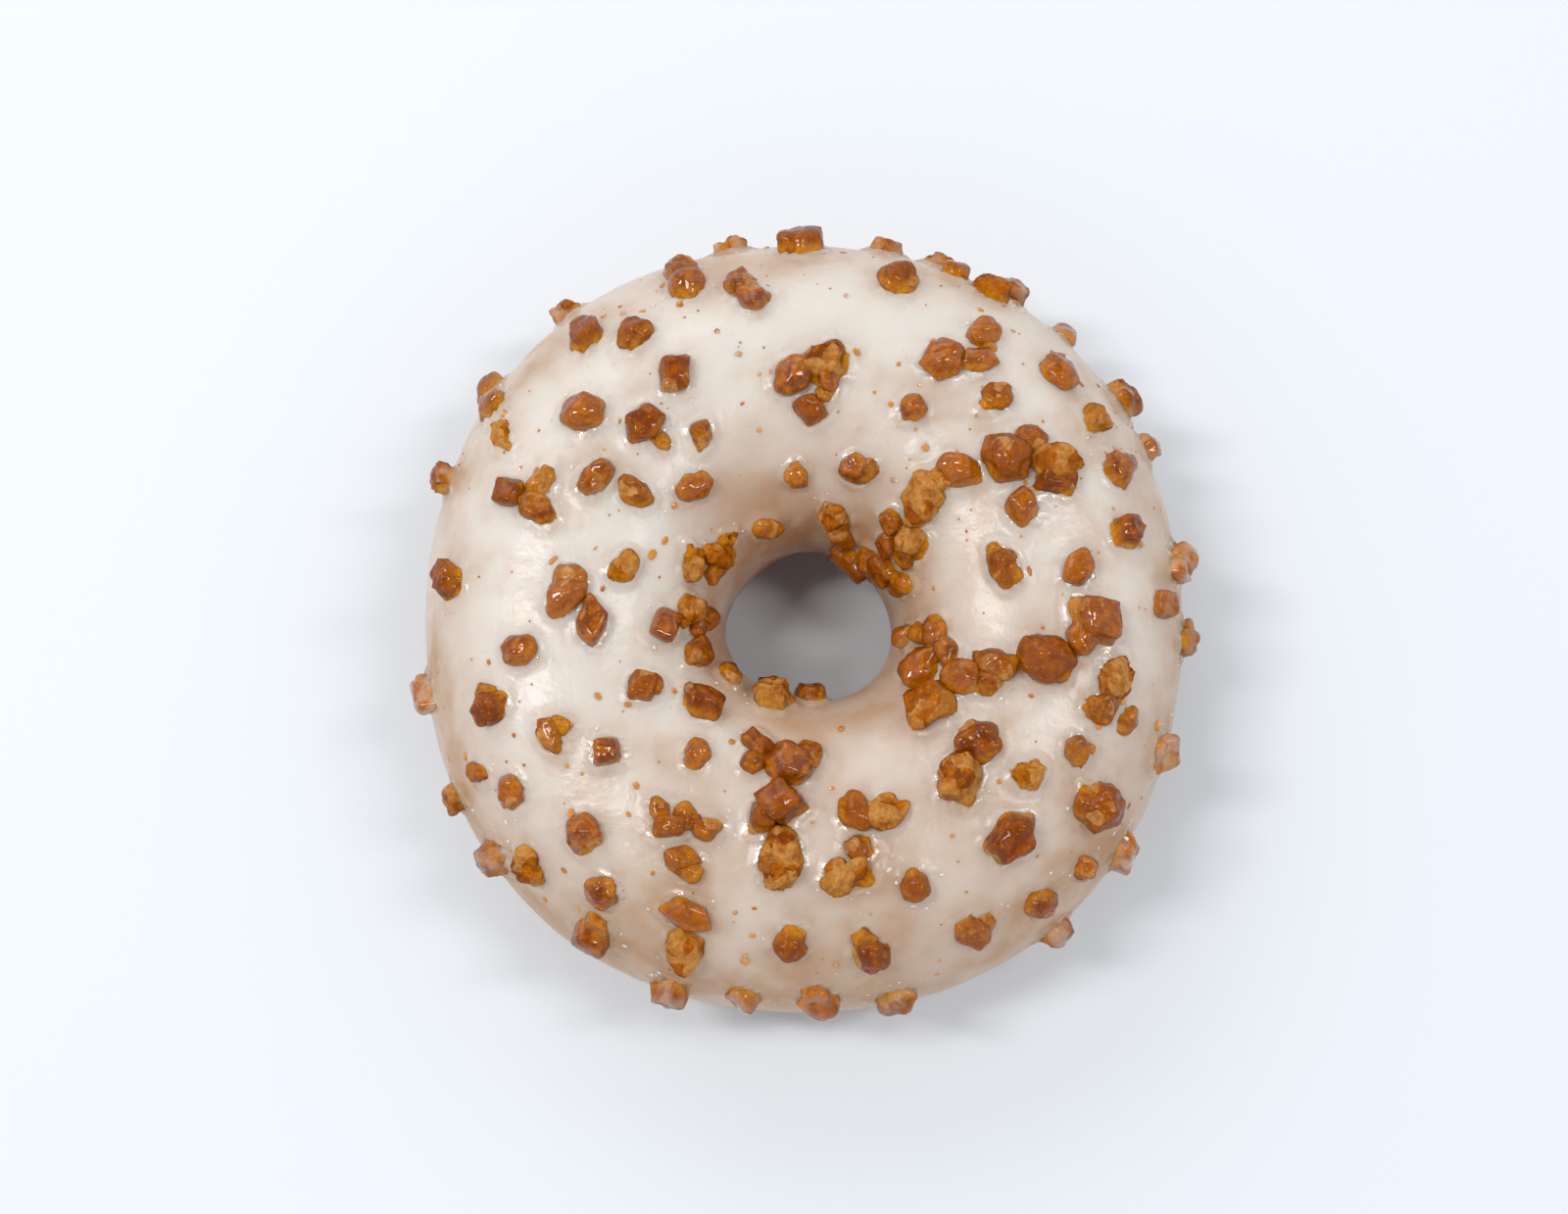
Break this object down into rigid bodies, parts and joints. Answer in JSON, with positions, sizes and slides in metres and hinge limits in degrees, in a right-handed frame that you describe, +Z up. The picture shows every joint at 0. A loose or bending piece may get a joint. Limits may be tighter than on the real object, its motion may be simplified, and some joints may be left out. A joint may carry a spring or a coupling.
{
  "type": "caramel doughnut",
  "caption": "Fried ring doughnut with a thin pale icing over its upper half and small lumps of hard caramel set all over the icing.",
  "frame": {"origin": "On the surface the doughnut rests on, on the axis of its ring, under the middle of the whole.", "axes": "+Z is up along the axis of the ring, which is the doughnut's shortest way. The picture is seen from above and slightly from the -Y side, with +X to its right."},
  "size_m": [0.091, 0.0929, 0.0339],
  "materials": {
    "dough": "golden brown fried dough, paler round its middle, slightly wrinkled",
    "icing": "translucent off-white sugar icing, softly glossy, with glossy amber brown lumps of caramel set in it"
  },
  "bodies": {
    "root": {"dough": "dough", "icing": "icing"}
  },
  "joints": []
}
